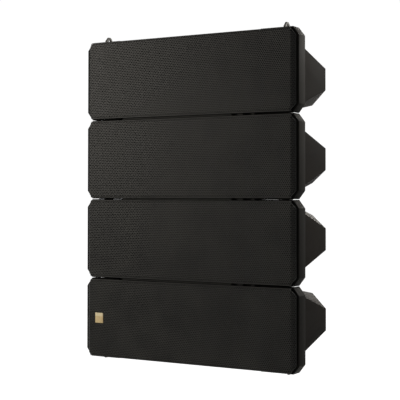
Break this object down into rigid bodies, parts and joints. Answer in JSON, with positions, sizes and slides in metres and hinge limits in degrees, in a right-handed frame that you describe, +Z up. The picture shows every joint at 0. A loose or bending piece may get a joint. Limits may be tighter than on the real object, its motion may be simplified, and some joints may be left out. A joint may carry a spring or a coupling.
{
  "type": "line array loudspeaker",
  "caption": "Stack of slim wide loudspeaker modules with perforated fronts and wedge-shaped bodies, hinged along their front edges so the column can be curved.",
  "frame": {"origin": "middle of the rigging axis through the two lug holes on top of the first module", "axes": "+X to the viewer's right along the hinge lines, -Y out of the grille faces, +Z up"},
  "size_m": [0.409, 0.2746, 0.5593],
  "materials": {
    "frame_plastic": "textured black",
    "shell_plastic": "textured black",
    "grille_steel": "black powder coat, perforated",
    "basket_steel": "black",
    "magnet": "dark ferrite and steel",
    "cone": "black coated paper with rubber surround",
    "horn_plastic": "black",
    "dome": "satin",
    "bracket_steel": "black powder coat",
    "screw_steel": "blackened",
    "bolt_steel": "zinc plated",
    "socket_plastic": "black",
    "board": "green laminate",
    "coil": "lacquered copper wire",
    "badge": "pale gold, plain"
  },
  "bodies": {
    "module1": {"m1_front_frame": "frame_plastic", "m1_grille": "grille_steel", "m1_rear_shell": "shell_plastic", "m1_woofer_baskets": "basket_steel", "m1_woofer_magnets": "magnet", "m1_horn": "horn_plastic", "m1_hinge_brackets": "bracket_steel", "m1_rear_brackets": "bracket_steel", "m1_shell_screws": "screw_steel", "m1_bracket_bolts": "bolt_steel", "seam1_hinge_pins": "bolt_steel", "seam1_angle_plates": "bracket_steel", "input_plate": "bracket_steel", "input_sockets": "socket_plastic", "filter_board": "board", "filter_coils": "coil"},
    "cones1": {"m1_woofer_cones": "cone"},
    "domes1": {"m1_tweeter_domes": "dome"},
    "module2": {"m2_front_frame": "frame_plastic", "m2_grille": "grille_steel", "m2_rear_shell": "shell_plastic", "m2_woofer_baskets": "basket_steel", "m2_woofer_magnets": "magnet", "m2_horn": "horn_plastic", "m2_hinge_brackets": "bracket_steel", "m2_rear_brackets": "bracket_steel", "m2_shell_screws": "screw_steel", "m2_bracket_bolts": "bolt_steel", "seam2_hinge_pins": "bolt_steel", "seam2_angle_plates": "bracket_steel"},
    "cones2": {"m2_woofer_cones": "cone"},
    "domes2": {"m2_tweeter_domes": "dome"},
    "module3": {"m3_front_frame": "frame_plastic", "m3_grille": "grille_steel", "m3_rear_shell": "shell_plastic", "m3_woofer_baskets": "basket_steel", "m3_woofer_magnets": "magnet", "m3_horn": "horn_plastic", "m3_hinge_brackets": "bracket_steel", "m3_rear_brackets": "bracket_steel", "m3_shell_screws": "screw_steel", "m3_bracket_bolts": "bolt_steel", "seam3_hinge_pins": "bolt_steel", "seam3_angle_plates": "bracket_steel"},
    "cones3": {"m3_woofer_cones": "cone"},
    "domes3": {"m3_tweeter_domes": "dome"},
    "module4": {"m4_front_frame": "frame_plastic", "m4_grille": "grille_steel", "m4_rear_shell": "shell_plastic", "m4_woofer_baskets": "basket_steel", "m4_woofer_magnets": "magnet", "m4_horn": "horn_plastic", "m4_hinge_brackets": "bracket_steel", "m4_rear_brackets": "bracket_steel", "m4_shell_screws": "screw_steel", "m4_bracket_bolts": "bolt_steel", "badge": "badge"},
    "cones4": {"m4_woofer_cones": "cone"},
    "domes4": {"m4_tweeter_domes": "dome"}
  },
  "joints": [
    {"name": "seam1_splay", "type": "hinge", "parent": "module1", "child": "module2", "pos_m": [0, 0, -0.1365], "axis": [1, 0, 0], "range_deg": [0, 15]},
    {"name": "seam2_splay", "type": "hinge", "parent": "module2", "child": "module3", "pos_m": [0, 0, -0.273], "axis": [1, 0, 0], "range_deg": [0, 15]},
    {"name": "seam3_splay", "type": "hinge", "parent": "module3", "child": "module4", "pos_m": [0, 0, -0.4095], "axis": [1, 0, 0], "range_deg": [0, 15]},
    {"name": "module1_woofers_travel", "type": "slide", "parent": "module1", "child": "cones1", "axis": [0, -1, 0], "range_m": [-0.003, 0.003], "stiffness_N_per_m": 1800},
    {"name": "module1_domes_travel", "type": "slide", "parent": "module1", "child": "domes1", "axis": [0, -1, 0], "range_m": [-0.0003, 0.0003], "stiffness_N_per_m": 3000},
    {"name": "module2_woofers_travel", "type": "slide", "parent": "module2", "child": "cones2", "axis": [0, -1, 0], "range_m": [-0.003, 0.003], "stiffness_N_per_m": 1800},
    {"name": "module2_domes_travel", "type": "slide", "parent": "module2", "child": "domes2", "axis": [0, -1, 0], "range_m": [-0.0003, 0.0003], "stiffness_N_per_m": 3000},
    {"name": "module3_woofers_travel", "type": "slide", "parent": "module3", "child": "cones3", "axis": [0, -1, 0], "range_m": [-0.003, 0.003], "stiffness_N_per_m": 1800},
    {"name": "module3_domes_travel", "type": "slide", "parent": "module3", "child": "domes3", "axis": [0, -1, 0], "range_m": [-0.0003, 0.0003], "stiffness_N_per_m": 3000},
    {"name": "module4_woofers_travel", "type": "slide", "parent": "module4", "child": "cones4", "axis": [0, -1, 0], "range_m": [-0.003, 0.003], "stiffness_N_per_m": 1800},
    {"name": "module4_domes_travel", "type": "slide", "parent": "module4", "child": "domes4", "axis": [0, -1, 0], "range_m": [-0.0003, 0.0003], "stiffness_N_per_m": 3000}
  ]
}
